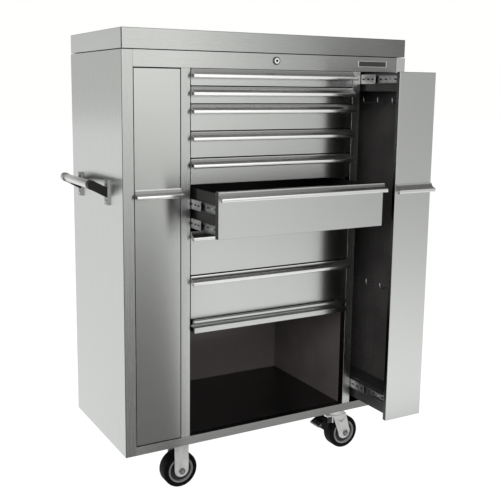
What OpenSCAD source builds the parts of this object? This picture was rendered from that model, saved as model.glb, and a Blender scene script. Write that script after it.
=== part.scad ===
// Rolling tool chest: a stainless steel roller cabinet with eight drawers, two
// full-height pull-out tool racks and a compartment with a flip-up door.
// +Z up, X across the front, Y from the front to the back, millimetres.
// Origin on the floor, under the middle of the cabinet.

/* [Overall size] */
// Width of the cabinet over its side panels
body_w = 1054; // [960:1:1290]
// Depth of the cabinet from its front face to its back face
body_d = 468; // [450:1:580]
// Height of the cabinet from the caster plates to the top of the cap
body_h = 1319; // [1240:1:1600]
// Height of the cabinet's underside above the floor
caster_h = 165; // [160:1:200]

/* [Sheet metal] */
// Thickness of the outer sheets, posts and rails
sheet_t = 1.5; // [1:0.1:2]
// Thickness of the sheet in drawers and racks
tray_t = 1.2; // [0.8:0.1:1.6]
// Height of the top cap
cap_h = 60; // [40:1:80]
// Height of the dark gap under the top cap
cap_gap = 2; // [1:0.5:4]
// Height of the header rail with the lock
header_h = 50; // [40:1:60]
// Height of the rail along the bottom of the front
base_rail_h = 28.5; // [20:0.5:36]
// Width of the front corner posts
post_w = 36; // [28:1:50]
// Depth of the folded returns on posts and rails
post_return = 27; // [20:1:36]
// Width of the divider between the drawers and a rack bay
divider_w = 31; // [24:1:44]
// Width of the opening of each rack bay
bay_w = 155; // [140:1:186]

/* [Drawers] */
// Spacing of the two top drawers
shallow_pitch = 54; // [50:0.5:62]
// Spacing of the three middle drawers
medium_pitch = 83; // [66:0.5:90]
// Height of the compartment under the drawers
compartment_h = 391; // [320:1:400]
// Gap between neighbouring fronts
front_gap = 3; // [2:0.5:4]
// Gap between a front and the posts beside it
side_gap = 2; // [1.5:0.5:4]
// Thickness of a drawer front
front_t = 19; // [14:1:24]
// Travel of drawers and racks
slide_travel = 400; // [330:1:410]
// How far the sixth drawer stands open at rest
drawer_out = 184; // [0:1:300]

/* [Pulls] */
// How far a pull stands out from its front
pull_d = 25; // [20:0.5:30]
// Height of a pull
pull_h = 28; // [24:0.5:32]
// Height of the upright band along the lip of a pull
pull_lip_h = 12; // [8:0.5:14]
// Thickness of the metal of a pull
pull_t = 1.8; // [1.2:0.1:2.5]

/* [Ball slides] */
// Height of a slide's outer channel
slide_h = 35; // [30:1:38]
// Thickness of a closed slide between wall and drawer
slide_t = 12.7; // [12:0.1:14]
// Thickness of the strip the channels are rolled from
slide_metal = 1.2; // [0.8:0.1:1.4]
// Running gap between nested channels
slide_gap = 0.9; // [0.6:0.1:1.2]
// Height of a slide's middle above the bottom of its drawer's space
slide_z = 26; // [24:0.5:28]
// Height of the second slide above the first on the deep drawers
slide_pair = 60; // [50:1:62]

/* [Pull-out racks] */
// Thickness of a rack's front panel
rack_front_t = 14; // [10:1:20]
// Height of the top of a rack's pull above the floor
rack_pull_z = 1008; // [700:1:1200]
// How far the right rack stands open at rest
rack_out = 201; // [0:1:300]
// Height of a rack's top beam
rack_top_h = 59; // [52:1:80]
// Height of a rack's bottom beam
rack_base_h = 77; // [72:1:100]
// Gap between the bottom rail and a rack's bottom beam
rack_lift = 19.5; // [8:0.5:24]
// Gap between a rack's top beam and the header
rack_drop = 6; // [4:0.5:10]
// Gap between a rack and the outer side of its bay
rack_side_gap = 4; // [2:0.5:8]
// Thickness of the pegboard
pegboard_t = 1.5; // [1:0.1:3]

/* [Flip-up door] */
// Thickness of the door
door_t = 17; // [14:0.5:20]
// How far the stowed door's edge stands out from the front
door_proud = 20; // [8:1:24]
// Distance from the door's upper edge to its pivots
door_pivot_in = 30; // [26:1:32]
// Gap between the closed door and the posts beside it
door_side_gap = 7; // [6.5:0.5:9]
// Gap under the closed door
door_gap = 3.5; // [3:0.5:5]
// Radius of the pivot pins
door_pin_r = 4; // [3:0.5:5]

/* [Casters] */
// Distance of the casters from the middle of the cabinet, across
caster_x = 317; // [300:1:340]
// Distance of the casters from the middle of the cabinet, front to back
caster_y = 168; // [140:1:175]
// Diameter of the wheels
wheel_d = 120; // [100:1:122]
// Width of the wheels
wheel_w = 48; // [36:1:50]
// Radius of the rounded edge of the tyre
tyre_edge_r = 7; // [3:0.5:10]
// Radius of the plain metal disc inside the tyre
rim_r = 44; // [36:1:46]
// Radius of the axles
axle_r = 6; // [5:0.5:8]
// Distance of a swivel caster's axle from its swivel axis
trail = 32; // [24:1:36]
// Thickness of the fork plates
fork_t = 4; // [3:0.5:5]
// Gap between a fork leg and the wheel
fork_gap = 2.5; // [1:0.5:4]
// Width of a fork leg
fork_w = 50; // [44:1:54]
// Length of the mounting plates, across the cabinet
plate_l = 104; // [96:1:115]
// Width of the mounting plates, front to back
plate_w = 86; // [80:1:95]

/* [Push handle] */
// Diameter of the push handle's tube
bar_d = 25.4; // [22:0.1:30]
// Distance of the tube's middle from the side panel
bar_out = 55; // [45:1:70]
// Height of the tube's middle above the floor
bar_z = 1016; // [900:1:1100]
// Middle of the front bracket, front to back
bracket_front_y = -109.5; // [-150:0.5:-90]
// Middle of the rear bracket, front to back
bracket_rear_y = 146; // [100:0.5:170]
// Width of a bracket's foot
bracket_w = 30; // [24:1:40]
// Height of a bracket's foot
bracket_h = 78; // [70:1:100]

/* [Lock] */
// Radius of the lock's turning barrel
lock_r = 9; // [7:0.5:11]
// Width of the ring around the barrel
lock_ring_w = 4; // [2:0.5:6]

/* [Fits] */
// Radial clearance of a turning pin in its hole
pin_fit = 0.08; // [0.05:0.01:0.1]
// Clearance between parts that move past each other
move_gap = 1; // [0.5:0.1:1.5]

/* [Hidden] */
$fn = 64;

steel = [0.76, 0.77, 0.76];
zinc = [0.66, 0.67, 0.69];
charcoal = [0.2, 0.19, 0.19];
black = [0.06, 0.06, 0.06];
grey = [0.5, 0.5, 0.5];

half_w = body_w / 2;
front_y = -body_d / 2;
back_y = body_d / 2;
base_z = caster_h;
top_z = caster_h + body_h;
cap_z = top_z - cap_h;
header_top = cap_z - cap_gap;
header_z = header_top - header_h;
floor_z = base_z + base_rail_h;
deck_z = floor_z - 2;
inner_back = back_y - sheet_t;

// The front, from the middle out: drawers, divider, rack bay, corner post
bay_in = half_w - post_w - bay_w;
bay_out = half_w - post_w;
drawer_half = bay_in - divider_w;

// The drawer spaces, from the header down
stack_z = floor_z + compartment_h;
deep_pitch = (header_z - stack_z - 2 * shallow_pitch - 3 * medium_pitch) / 3;
pitches = [
    shallow_pitch, shallow_pitch, medium_pitch, medium_pitch, medium_pitch,
    deep_pitch, deep_pitch, deep_pitch
];
function space_z(i) = i == 0 ? header_z : space_z(i - 1) - pitches[i - 1];
function is_deep(i) = i > 5;
function slide_levels(i) = is_deep(i) ? [slide_z, slide_z + slide_pair] : [slide_z];
function out_at_rest(i) = i == 6 ? drawer_out : 0;
front_half = drawer_half - side_gap;
box_half = drawer_half - slide_t;
box_front_y = front_y + front_t;
box_back_y = box_front_y + slide_travel + 14;
box_lift = 6;
box_drop = 9;
slide_y = box_front_y + 4;

// The nested channels of a slide, measured from the wall they are fixed to
outer_d = slide_t - 2.5;
mid_h = slide_h - 2 * (slide_metal + slide_gap);
inner_h = mid_h - 2 * (slide_metal + slide_gap);
mid_near = slide_metal + slide_gap;
mid_far = slide_t - slide_metal - slide_gap;
inner_near = mid_near + slide_metal + slide_gap;

// A rack fills its bay from the slides to the outer gap
rack_in = bay_in + slide_t;
rack_far = bay_out - rack_side_gap;
rack_z = floor_z + rack_lift;
rack_top = header_z - rack_drop;
rack_floor = rack_z + rack_base_h;
rack_roof = rack_top - rack_top_h;
rack_front_y = front_y + rack_front_t;
rack_back_y = rack_front_y + slide_travel;
rack_mid = (rack_in + rack_far) / 2;
rack_slide_levels = [rack_z + 54.5, rack_top - 19.5];

// The stowed door lies level; its pivots are in line with its middle
door_half = drawer_half - door_side_gap;
door_len = compartment_h - door_gap - 2;
door_reach = door_len - door_pivot_in;
pivot_z = floor_z + door_gap + door_reach;
pivot_y = front_y - door_proud + door_reach;
pivot_closed_y = front_y + door_t / 2;
door_low = pivot_z - door_t / 2;
door_high = pivot_z + door_t / 2;
ceiling_z = stack_z + 3.5;
track_z = door_high + 5;
track_h = 16;
track_d = door_side_gap - 1.5;
track_front = pivot_closed_y + 38;
track_back = pivot_y + 122;
roller_r = 6;
roller_y = pivot_y + 52;
roller_gap = 42;

// Casters
wheel_r = wheel_d / 2;
leg_in = wheel_w / 2 + fork_gap;
leg_out = leg_in + fork_t;
plate_z = base_z - 4;
leg_r = fork_w / 2;
leg_round_z = wheel_r + 4;
crown_z = plate_z - 27;
crown_r = 40;
king_r = 7;
pedal_x = caster_x - 40;
pedal_z = crown_z - 16;
pedal_pin_r = 3;

// Push handle
side_x = -half_w;
bar_x = side_x - bar_out;
bar_r = bar_d / 2;
foot_t = 7;
foot_mid_z = bar_z - 25;
arm_w = bracket_w - 8;
socket_r = bar_r + 2;
bar_start_y = bracket_front_y - arm_w / 2 + 3;
bar_end_y = bracket_rear_y + arm_w / 2 + 12;

lock_z = header_z + header_h / 2 + 3;

// A block between two corners
module block(x0, x1, y0, y1, z0, z1) {
    translate([x0, y0, z0])
        cube([x1 - x0, y1 - y0, z1 - z0]);
}

// An outline in X and Z carried along Y
module along_y(y0, y1) {
    translate([0, y1, 0])
        rotate([90, 0, 0])
            linear_extrude(height = y1 - y0)
                children();
}

// An outline in Y and Z carried along X
module along_x(x0, x1) {
    translate([x0, 0, 0])
        rotate([90, 0, 90])
            linear_extrude(height = x1 - x0)
                children();
}

// A round bar along Y
module rod_y(x, z, r, y0, y1) {
    translate([x, y1, z])
        rotate([90, 0, 0])
            cylinder(h = y1 - y0, r = r);
}

// A round bar along X
module rod_x(y, z, r, x0, x1) {
    translate([x0, y, z])
        rotate([0, 90, 0])
            cylinder(h = x1 - x0, r = r);
}

// A shape repeated on the left of the middle plane
module both_sides() {
    children();
    mirror([1, 0, 0])
        children();
}

// A tray of sheet: an open box whose floor is its front face
module front_tray(x0, x1, y0, y1, z0, z1, t) {
    difference() {
        block(x0, x1, y0, y1, z0, z1);
        block(x0 + t, x1 - t, y0 + t, y1 + t, z0 + t, z1 - t);
    }
}

// A C channel along Y; its web is at x0, its lips point to x1
module channel(x0, x1, z, h, t, y0, y1) {
    web = x1 > x0 ? x0 + t : x0 - t;
    along_y(y0, y1)
        polygon([
            [x0, z - h / 2], [x1, z - h / 2], [x1, z - h / 2 + t], [web, z - h / 2 + t],
            [web, z + h / 2 - t], [x1, z + h / 2 - t], [x1, z + h / 2], [x0, z + h / 2]
        ]);
}

// Section of a pull: a hollowed slope that falls to an upright lip, rolled under.
// It grows out from y = 0 towards -Y and down from z = 0.
curve_r = pull_d - pull_lip_h / 2 - 1.5;
curve_y = pull_d - 3;
curve_z = curve_r - (pull_h - pull_lip_h) + 1;
module pull_section() {
    outer = [for (a = [190:10:270]) [-curve_y - curve_r * cos(a), curve_z + curve_r * sin(a)]];
    inner = [
        for (a = [264:-10:194])
            [-curve_y - (curve_r + pull_t) * cos(a), curve_z + (curve_r + pull_t) * sin(a)]
    ];
    lip_z = pull_lip_h - pull_h;
    lip = [
        [-pull_d + 1, lip_z - 0.5], [-pull_d, lip_z - 1.5],
        [-pull_d, 2 - pull_h], [2 - pull_d, -pull_h], [9 - pull_d, -pull_h],
        [9 - pull_d, pull_t - pull_h], [pull_t + 1 - pull_d, pull_t - pull_h],
        [pull_t - pull_d, pull_t + 1 - pull_h], [pull_t - pull_d, lip_z - 2.5]
    ];
    polygon(concat([[0, 0], [-4, 0]], outer, lip, inner, [[-3, -pull_t], [0, -pull_t]]));
}

module pull(x0, x1, y, z) {
    along_x(x0, x1)
        translate([y, z])
            pull_section();
}

// ---- Cabinet ----

module side_panel(side) {
    x = side * half_w;
    color(steel)
        block(
            min(x, x - side * sheet_t), max(x, x - side * sheet_t),
            front_y + sheet_t, inner_back, base_z, header_top
        );
}

module back_panel() {
    color(steel)
        block(-half_w, half_w, inner_back, back_y, base_z, header_top);
}

// A deep lid with a folded return, on a set-back ring that leaves the dark gap
module top_cap() {
    inset = 5;
    lip = 18;
    color(steel) {
        difference() {
            block(-half_w, half_w, front_y, back_y, cap_z, top_z);
            block(
                sheet_t - half_w, half_w - sheet_t,
                front_y + sheet_t, back_y - sheet_t,
                cap_z + sheet_t, top_z - sheet_t
            );
            block(lip - half_w, half_w - lip, front_y + lip, back_y - lip, cap_z - 1, cap_z + 3);
        }
        difference() {
            block(inset - half_w, half_w - inset, front_y + inset, back_y - inset, header_top, cap_z);
            block(lip - half_w, half_w - lip, front_y + lip, back_y - lip, header_top - 1, cap_z + 1);
        }
    }
}

// A channel between the corner posts, drilled for the lock
module header_rail() {
    color(steel)
        difference() {
            block(-bay_out, bay_out, front_y, front_y + post_return, header_z, header_top);
            block(
                -bay_out - 1, bay_out + 1, front_y + sheet_t, front_y + post_return + 1,
                header_z + sheet_t, header_top - sheet_t
            );
            rod_y(0, lock_z, lock_r + pin_fit, front_y - 1, front_y + sheet_t + 1);
        }
}

module bottom_rail() {
    color(steel)
        difference() {
            block(-bay_out, bay_out, front_y, front_y + post_return, base_z, floor_z);
            block(
                -bay_out - 1, bay_out + 1, front_y + sheet_t, front_y + post_return + 1,
                base_z + sheet_t, floor_z - sheet_t
            );
        }
}

// Corner posts run the full height; divider posts stand between the rails
module front_posts() {
    color(steel)
        both_sides() {
            along_post(base_z, header_top)
                polygon([
                    [bay_out, front_y], [half_w, front_y], [half_w, front_y + sheet_t],
                    [bay_out + sheet_t, front_y + sheet_t],
                    [bay_out + sheet_t, front_y + post_return], [bay_out, front_y + post_return]
                ]);
            along_post(floor_z, header_z)
                polygon([
                    [drawer_half, front_y], [bay_in, front_y], [bay_in, front_y + post_return],
                    [bay_in - sheet_t, front_y + post_return], [bay_in - sheet_t, front_y + sheet_t],
                    [drawer_half + sheet_t, front_y + sheet_t],
                    [drawer_half + sheet_t, front_y + post_return], [drawer_half, front_y + post_return]
                ]);
        }
}

module along_post(z0, z1) {
    translate([0, 0, z0])
        linear_extrude(height = z1 - z0)
            children();
}

// Double walls behind the divider posts; they carry the slides on both faces
module divider_walls() {
    wall_y = front_y + post_return;
    color(charcoal)
        both_sides()
            difference() {
                block(drawer_half, bay_in, wall_y, inner_back, deck_z, header_z);
                block(
                    drawer_half + sheet_t, bay_in - sheet_t, wall_y + sheet_t, inner_back + 1,
                    deck_z - 1, header_z + 1
                );
            }
}

// Floor of the compartment and the bays, with a folded rim and caster seats
module base_pan() {
    pan_x = half_w - sheet_t;
    pan_y = front_y + post_return;
    seat_x = plate_l / 2 + 6;
    seat_y = plate_w / 2 - 6;
    color(charcoal) {
        difference() {
            block(-pan_x, pan_x, pan_y, inner_back, base_z, deck_z);
            block(
                sheet_t - pan_x, pan_x - sheet_t, pan_y + sheet_t, inner_back - sheet_t,
                base_z - 1, deck_z - sheet_t
            );
        }
        for (x = [-caster_x, caster_x])
            block(x - seat_x, x + seat_x, pan_y, inner_back, base_z, base_z + 2 * sheet_t);
    }
}

// Shelf between the lowest drawer and the compartment
module bay_ceiling() {
    color(charcoal)
        block(
            -drawer_half, drawer_half, box_front_y + 2 * move_gap, inner_back,
            ceiling_z, ceiling_z + sheet_t
        );
}

// Channels that the door's rollers run in, under the shelf
module door_tracks() {
    color(zinc)
        both_sides()
            channel(
                drawer_half, drawer_half - track_d, track_z + track_h / 2, track_h, sheet_t,
                track_front, track_back
            );
}

// The outer channels of every slide, fixed to the dividers
module fixed_slides() {
    color(zinc)
        both_sides() {
            for (i = [1:8])
                for (level = slide_levels(i))
                    channel(
                        drawer_half, drawer_half - outer_d, space_z(i) + level, slide_h,
                        slide_metal, slide_y, slide_y + slide_travel
                    );
            for (level = rack_slide_levels)
                channel(
                    bay_in, bay_in + outer_d, level, slide_h,
                    slide_metal, slide_y, slide_y + slide_travel
                );
        }
}

// ---- Lock ----

module lock_housing() {
    ring_r = lock_r + lock_ring_w;
    color(zinc)
        difference() {
            rod_y(0, lock_z, ring_r, front_y - 3, front_y);
            rod_y(0, lock_z, lock_r + pin_fit, front_y - 4, front_y + 1);
        }
}

module lock_barrel() {
    face_y = front_y - 4.5;
    color(zinc)
        difference() {
            rod_y(0, lock_z, lock_r, face_y, front_y + 18);
            block(-1.2, 1.2, face_y - 1, face_y + 5, lock_z - 4.5, lock_z + 4.5);
        }
}

// ---- Flip-up door ----

// A cross tie with end plates, rollers and the arms that hold the pivot pins
module door_carriage() {
    tie_y = roller_y + roller_gap / 2;
    plate_far = drawer_half - track_d - move_gap;
    arm_in = door_half + 1.5;
    arm_out = arm_in + 3;
    arm_top = track_z - 1.5;
    mid_track = track_z + track_h / 2;
    color(zinc) {
        block(
            -plate_far, plate_far, tie_y - 12, tie_y + 12,
            mid_track - 7, mid_track + 7
        );
        both_sides() {
            block(
                plate_far - 3, plate_far, roller_y - 12, roller_y + roller_gap + 12,
                arm_top - 4, mid_track + 7
            );
            block(
                plate_far - 3, arm_out, roller_y - 12, roller_y + roller_gap + 12,
                arm_top - 4, arm_top
            );
            block(arm_in, arm_out, pivot_y - 8, roller_y, door_low + 1, arm_top);
            rod_x(pivot_y, pivot_z, door_pin_r, door_half - 10, arm_in + 1);
            for (y = [roller_y, roller_y + roller_gap]) {
                rod_x(y, mid_track, roller_r, plate_far + 1.2, drawer_half - sheet_t - move_gap);
                rod_x(y, mid_track, 2.5, plate_far - 1, plate_far + 2);
            }
        }
    }
}

// A folded pan, stowed level with its outer face up and its pull at the front edge
module door_panel() {
    near_y = front_y - door_proud;
    far_y = near_y + door_len;
    color(steel) {
        difference() {
            block(-door_half, door_half, near_y, far_y, door_low, door_high);
            block(
                tray_t - door_half, door_half - tray_t, near_y + tray_t, far_y - tray_t,
                door_low - 1, door_high - tray_t
            );
            rod_x(pivot_y, pivot_z, door_pin_r + pin_fit, -door_half - 1, door_half + 1);
        }
        along_x(-door_half, door_half)
            translate([near_y + pull_h + 1, door_high])
                rotate([0, 0, -90])
                    pull_section();
    }
}

// ---- Casters ----

module wheel(x, y) {
    half = wheel_w / 2;
    edge = tyre_edge_r;
    face = half - 5;
    tread = [
        for (a = [0:15:90])
            [wheel_r - edge + edge * cos(a), half - edge + edge * sin(a)]
    ];
    disc = [
        [rim_r, half], [rim_r - 2, face], [20, face], [17, half], [axle_r + pin_fit, half]
    ];
    side_a = concat(tread, disc);
    side_b = [for (i = [len(side_a) - 1:-1:0]) [side_a[i][0], -side_a[i][1]]];
    color(black)
        translate([x, y, wheel_r])
            rotate([90, 0, 0])
                rotate_extrude($fn = 96)
                    polygon(concat(side_a, side_b));
}

// Two drop legs under a plate, with the axle through both
module rigid_fork(y) {
    block(
        -caster_x - plate_l / 2, plate_l / 2 - caster_x, y - plate_w / 2, y + plate_w / 2,
        plate_z, base_z
    );
    for (s = [-1, 1]) {
        y0 = y + min(s * leg_in, s * leg_out);
        y1 = y + max(s * leg_in, s * leg_out);
        block(-caster_x - leg_r, leg_r - caster_x, y0, y1, leg_round_z, plate_z);
        rod_y(-caster_x, leg_round_z, leg_r, y0, y1);
    }
    axle(-caster_x, y);
}

// A bolt with a head and a nut outside the legs
module axle(x, y) {
    rod_y(x, wheel_r, axle_r, y - leg_out - 2, y + leg_out + 2);
    for (s = [-1, 1])
        translate([x, y + s * (leg_out + 3), wheel_r])
            rotate([90, 0, 0])
                cylinder(h = 6, r = axle_r * 1.9, center = true, $fn = 6);
}

module rigid_forks() {
    color(zinc)
        for (y = [-caster_y, caster_y])
            rigid_fork(y);
}

// Plates, fixed races and king pins of the swivel casters
module swivel_plates() {
    color(zinc)
        for (y = [-caster_y, caster_y]) {
            block(
                caster_x - plate_l / 2, caster_x + plate_l / 2,
                y - plate_w / 2, y + plate_w / 2, plate_z, base_z
            );
            translate([caster_x, y, crown_z + fork_t + move_gap])
                cylinder(h = plate_z - crown_z - fork_t - move_gap, r1 = crown_r, r2 = crown_r - 6);
            translate([caster_x, y, crown_z - 4])
                cylinder(h = plate_z - crown_z, r = king_r);
            translate([caster_x, y, crown_z - 4 - move_gap])
                cylinder(h = 4, r = king_r * 1.7, $fn = 6);
        }
}

// The turning fork: crown, two raked legs, axle and the ears for the pedal
module swivel_fork(y) {
    axle_x = caster_x + trail;
    color(zinc) {
        difference() {
            union() {
                translate([caster_x, y, crown_z])
                    cylinder(h = fork_t, r = crown_r);
                block(pedal_x - 8, caster_x + 34, y - leg_out, y + leg_out, crown_z, crown_z + fork_t);
            }
            translate([caster_x, y, crown_z - 1])
                cylinder(h = fork_t + 2, r = king_r + pin_fit);
        }
        for (s = [-1, 1]) {
            y0 = y + min(s * leg_in, s * leg_out);
            y1 = y + max(s * leg_in, s * leg_out);
            along_y(y0, y1)
                polygon([
                    [caster_x - 23, crown_z + fork_t], [axle_x - 3 - leg_r, leg_round_z],
                    [axle_x - 3 + leg_r, leg_round_z], [caster_x + 34, crown_z + fork_t]
                ]);
            rod_y(axle_x - 3, leg_round_z, leg_r, y0, y1);
            along_y(y0, y1)
                polygon([
                    [pedal_x - 8, crown_z + fork_t], [pedal_x - 8, pedal_z - 7],
                    [pedal_x + 8, pedal_z - 7], [caster_x - 22, crown_z + fork_t - 30],
                    [caster_x - 22, crown_z + fork_t]
                ]);
        }
        axle(axle_x, y);
        rod_y(pedal_x, pedal_z, pedal_pin_r, y - leg_out + 1, y + leg_out - 1);
    }
}

// A foot lever on a pin between the fork's ears
module brake_pedal(y) {
    half = leg_in - move_gap;
    color(zinc)
        difference() {
            union() {
                rod_y(pedal_x, pedal_z, 7, y - half, y + half);
                along_y(y - half, y + half)
                    polygon([
                        [pedal_x + 1, pedal_z + 7], [pedal_x - 15, pedal_z + 5],
                        [pedal_x - 45, pedal_z - 11], [pedal_x - 46, pedal_z - 17],
                        [pedal_x - 40, pedal_z - 18], [pedal_x - 10, pedal_z - 38],
                        [pedal_x - 5, pedal_z - 36], [pedal_x + 5, pedal_z - 5]
                    ]);
            }
            rod_y(pedal_x, pedal_z, pedal_pin_r + pin_fit, y - half - 1, y + half + 1);
            along_y(y - half + 3, y + half - 3)
                polygon([
                    [pedal_x - 5, pedal_z - 9], [pedal_x - 15, pedal_z + 1],
                    [pedal_x - 42, pedal_z - 14], [pedal_x - 10, pedal_z - 34],
                    [pedal_x - 4, pedal_z - 40], [pedal_x, pedal_z - 30]
                ]);
        }
}

// ---- Push handle ----

// The tube stops in the front arm and runs through the rear one
module push_handle() {
    color(steel)
        rod_y(bar_x, bar_z, bar_r, bar_start_y, bar_end_y);
}

// A foot on the side panel and a raised arm with a socket for the tube
module handle_bracket(y) {
    difference() {
        union() {
            block(
                side_x - foot_t, side_x, y - bracket_w / 2, y + bracket_w / 2,
                foot_mid_z - bracket_h / 2, foot_mid_z + bracket_h / 2
            );
            along_y(y - arm_w / 2, y + arm_w / 2)
                polygon([
                    [side_x - foot_t + 1, foot_mid_z + 16], [bar_x + 3, bar_z + socket_r - 1],
                    [bar_x - 3, bar_z - socket_r + 1], [side_x - foot_t + 1, foot_mid_z - 16]
                ]);
            rod_y(bar_x, bar_z, socket_r, y - arm_w / 2, y + arm_w / 2);
        }
        rod_y(bar_x, bar_z, bar_r + pin_fit, bar_start_y, bar_end_y);
    }
}

module handle_brackets() {
    color(black)
        for (y = [bracket_front_y, bracket_rear_y])
            handle_bracket(y);
}

// ---- Pull-out racks ----

// Two hollow beams joined by end plates, with the slides' inner channels
module rack_frame(side, out) {
    color(charcoal)
        mirror([side < 0 ? 1 : 0, 0, 0])
            translate([0, -out, 0]) {
                block(rack_in, rack_far, rack_front_y, rack_front_y + tray_t, rack_z, rack_top);
                block(rack_in, rack_far, rack_back_y - tray_t, rack_back_y, rack_z, rack_top);
                difference() {
                    block(rack_in, rack_far, rack_front_y, rack_back_y, rack_roof, rack_top);
                    block(
                        rack_in + tray_t, rack_far - tray_t, rack_front_y - 1, rack_back_y + 1,
                        rack_roof - 1, rack_top - tray_t
                    );
                }
                difference() {
                    block(rack_in, rack_far, rack_front_y, rack_back_y, rack_z, rack_floor);
                    block(
                        rack_in + tray_t, rack_far - tray_t, rack_front_y - 1, rack_back_y + 1,
                        rack_z - 1, rack_floor - tray_t
                    );
                }
                for (level = rack_slide_levels)
                    channel(
                        rack_in, bay_in + inner_near, level, inner_h, slide_metal,
                        slide_y, rack_back_y
                    );
            }
}

module rack_front(side, out) {
    x0 = bay_in + side_gap;
    x1 = bay_out - side_gap;
    color(steel)
        mirror([side < 0 ? 1 : 0, 0, 0])
            translate([0, -out, 0]) {
                front_tray(
                    x0, x1, front_y, rack_front_y, floor_z + front_gap, header_z - front_gap, tray_t
                );
                pull(x0, x1, front_y, rack_pull_z);
            }
}

module rack_pegboard(side, out) {
    color(grey)
        mirror([side < 0 ? 1 : 0, 0, 0])
            block(
                rack_mid, rack_mid + pegboard_t,
                rack_front_y + tray_t - out, rack_back_y - tray_t - out, rack_floor, rack_roof
            );
}

module rack_slides(side, out) {
    color(zinc)
        mirror([side < 0 ? 1 : 0, 0, 0])
            translate([0, -out / 2, 0])
                for (level = rack_slide_levels)
                    channel(
                        bay_in + mid_near, bay_in + mid_far, level, mid_h, slide_metal,
                        slide_y, slide_y + slide_travel
                    );
}

// ---- Drawers ----

// An open box with the slides' inner channels on its sides
module drawer_box(i) {
    z0 = space_z(i) + box_lift;
    z1 = space_z(i - 1) - box_drop;
    color(charcoal)
        translate([0, -out_at_rest(i), 0]) {
            difference() {
                block(-box_half, box_half, box_front_y, box_back_y, z0, z1);
                block(
                    tray_t - box_half, box_half - tray_t, box_front_y + tray_t, box_back_y - tray_t,
                    z0 + tray_t, z1 + 1
                );
            }
            both_sides()
                for (level = slide_levels(i))
                    channel(
                        box_half, drawer_half - inner_near, space_z(i) + level, inner_h,
                        slide_metal, slide_y, slide_y + slide_travel
                    );
        }
}

// A folded front with the pull along its top edge
module drawer_front(i) {
    z0 = space_z(i) + front_gap / 2;
    z1 = space_z(i - 1) - front_gap / 2;
    color(steel)
        translate([0, -out_at_rest(i), 0]) {
            front_tray(-front_half, front_half, front_y, box_front_y, z0, z1, tray_t);
            pull(-front_half, front_half, front_y, z1);
        }
}

// The middle channels, which travel half as far as the drawer
module drawer_slides(i) {
    color(zinc)
        translate([0, -out_at_rest(i) / 2, 0])
            both_sides()
                for (level = slide_levels(i))
                    channel(
                        drawer_half - mid_near, drawer_half - mid_far, space_z(i) + level, mid_h,
                        slide_metal, slide_y, slide_y + slide_travel
                    );
}

side_panel(-1);  // side_panel_left
side_panel(1);  // side_panel_right
back_panel();
top_cap();
header_rail();
front_posts();
bottom_rail();
divider_walls();
base_pan();
bay_ceiling();
door_tracks();
fixed_slides();
rigid_forks();
swivel_plates();
push_handle();
handle_brackets();
lock_housing();
lock_barrel();
door_carriage();
door_panel();
swivel_fork(-caster_y);  // swivel_fork_front
swivel_fork(caster_y);  // swivel_fork_rear
brake_pedal(-caster_y);  // brake_pedal_front
brake_pedal(caster_y);  // brake_pedal_rear
wheel(-caster_x, -caster_y);  // wheel_left_front
wheel(-caster_x, caster_y);  // wheel_left_rear
wheel(caster_x + trail, -caster_y);  // wheel_right_front
wheel(caster_x + trail, caster_y);  // wheel_right_rear
rack_frame(-1, 0);  // rack_left_frame
rack_front(-1, 0);  // rack_left_front
rack_pegboard(-1, 0);  // rack_left_pegboard
rack_slides(-1, 0);  // rack_left_slides
rack_frame(1, rack_out);  // rack_right_frame
rack_front(1, rack_out);  // rack_right_front
rack_pegboard(1, rack_out);  // rack_right_pegboard
rack_slides(1, rack_out);  // rack_right_slides
drawer_box(1);  // drawer_1
drawer_front(1);  // drawer_1_front
drawer_slides(1);  // drawer_1_slides
drawer_box(2);  // drawer_2
drawer_front(2);  // drawer_2_front
drawer_slides(2);  // drawer_2_slides
drawer_box(3);  // drawer_3
drawer_front(3);  // drawer_3_front
drawer_slides(3);  // drawer_3_slides
drawer_box(4);  // drawer_4
drawer_front(4);  // drawer_4_front
drawer_slides(4);  // drawer_4_slides
drawer_box(5);  // drawer_5
drawer_front(5);  // drawer_5_front
drawer_slides(5);  // drawer_5_slides
drawer_box(6);  // drawer_6
drawer_front(6);  // drawer_6_front
drawer_slides(6);  // drawer_6_slides
drawer_box(7);  // drawer_7
drawer_front(7);  // drawer_7_front
drawer_slides(7);  // drawer_7_slides
drawer_box(8);  // drawer_8
drawer_front(8);  // drawer_8_front
drawer_slides(8);  // drawer_8_slides
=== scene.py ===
import math
import bpy
from mathutils import Matrix, Vector


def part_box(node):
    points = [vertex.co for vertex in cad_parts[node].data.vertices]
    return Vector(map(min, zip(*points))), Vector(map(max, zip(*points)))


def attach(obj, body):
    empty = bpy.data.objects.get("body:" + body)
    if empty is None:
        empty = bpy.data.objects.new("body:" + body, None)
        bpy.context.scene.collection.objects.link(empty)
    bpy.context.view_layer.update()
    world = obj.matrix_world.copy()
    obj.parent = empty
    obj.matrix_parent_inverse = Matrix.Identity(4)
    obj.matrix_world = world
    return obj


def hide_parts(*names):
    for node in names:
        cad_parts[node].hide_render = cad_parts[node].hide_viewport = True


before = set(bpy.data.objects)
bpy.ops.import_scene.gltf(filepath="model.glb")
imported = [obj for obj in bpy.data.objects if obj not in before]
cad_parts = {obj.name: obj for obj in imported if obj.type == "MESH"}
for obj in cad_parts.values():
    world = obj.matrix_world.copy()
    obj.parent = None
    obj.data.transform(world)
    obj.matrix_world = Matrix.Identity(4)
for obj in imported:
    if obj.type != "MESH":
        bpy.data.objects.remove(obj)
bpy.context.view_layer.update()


# ---- Camera ----
# A long lens from the left in front of the chest, at about the height of the lock,
# looking a little down. The shift sets the chest in the middle of the frame.
camera_place = Vector((-1.3923, -2.4793, 1.3061))
camera_turn = math.radians(28.51)
camera_tip = math.radians(9.42)
camera_lean = math.radians(0.51)
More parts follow.
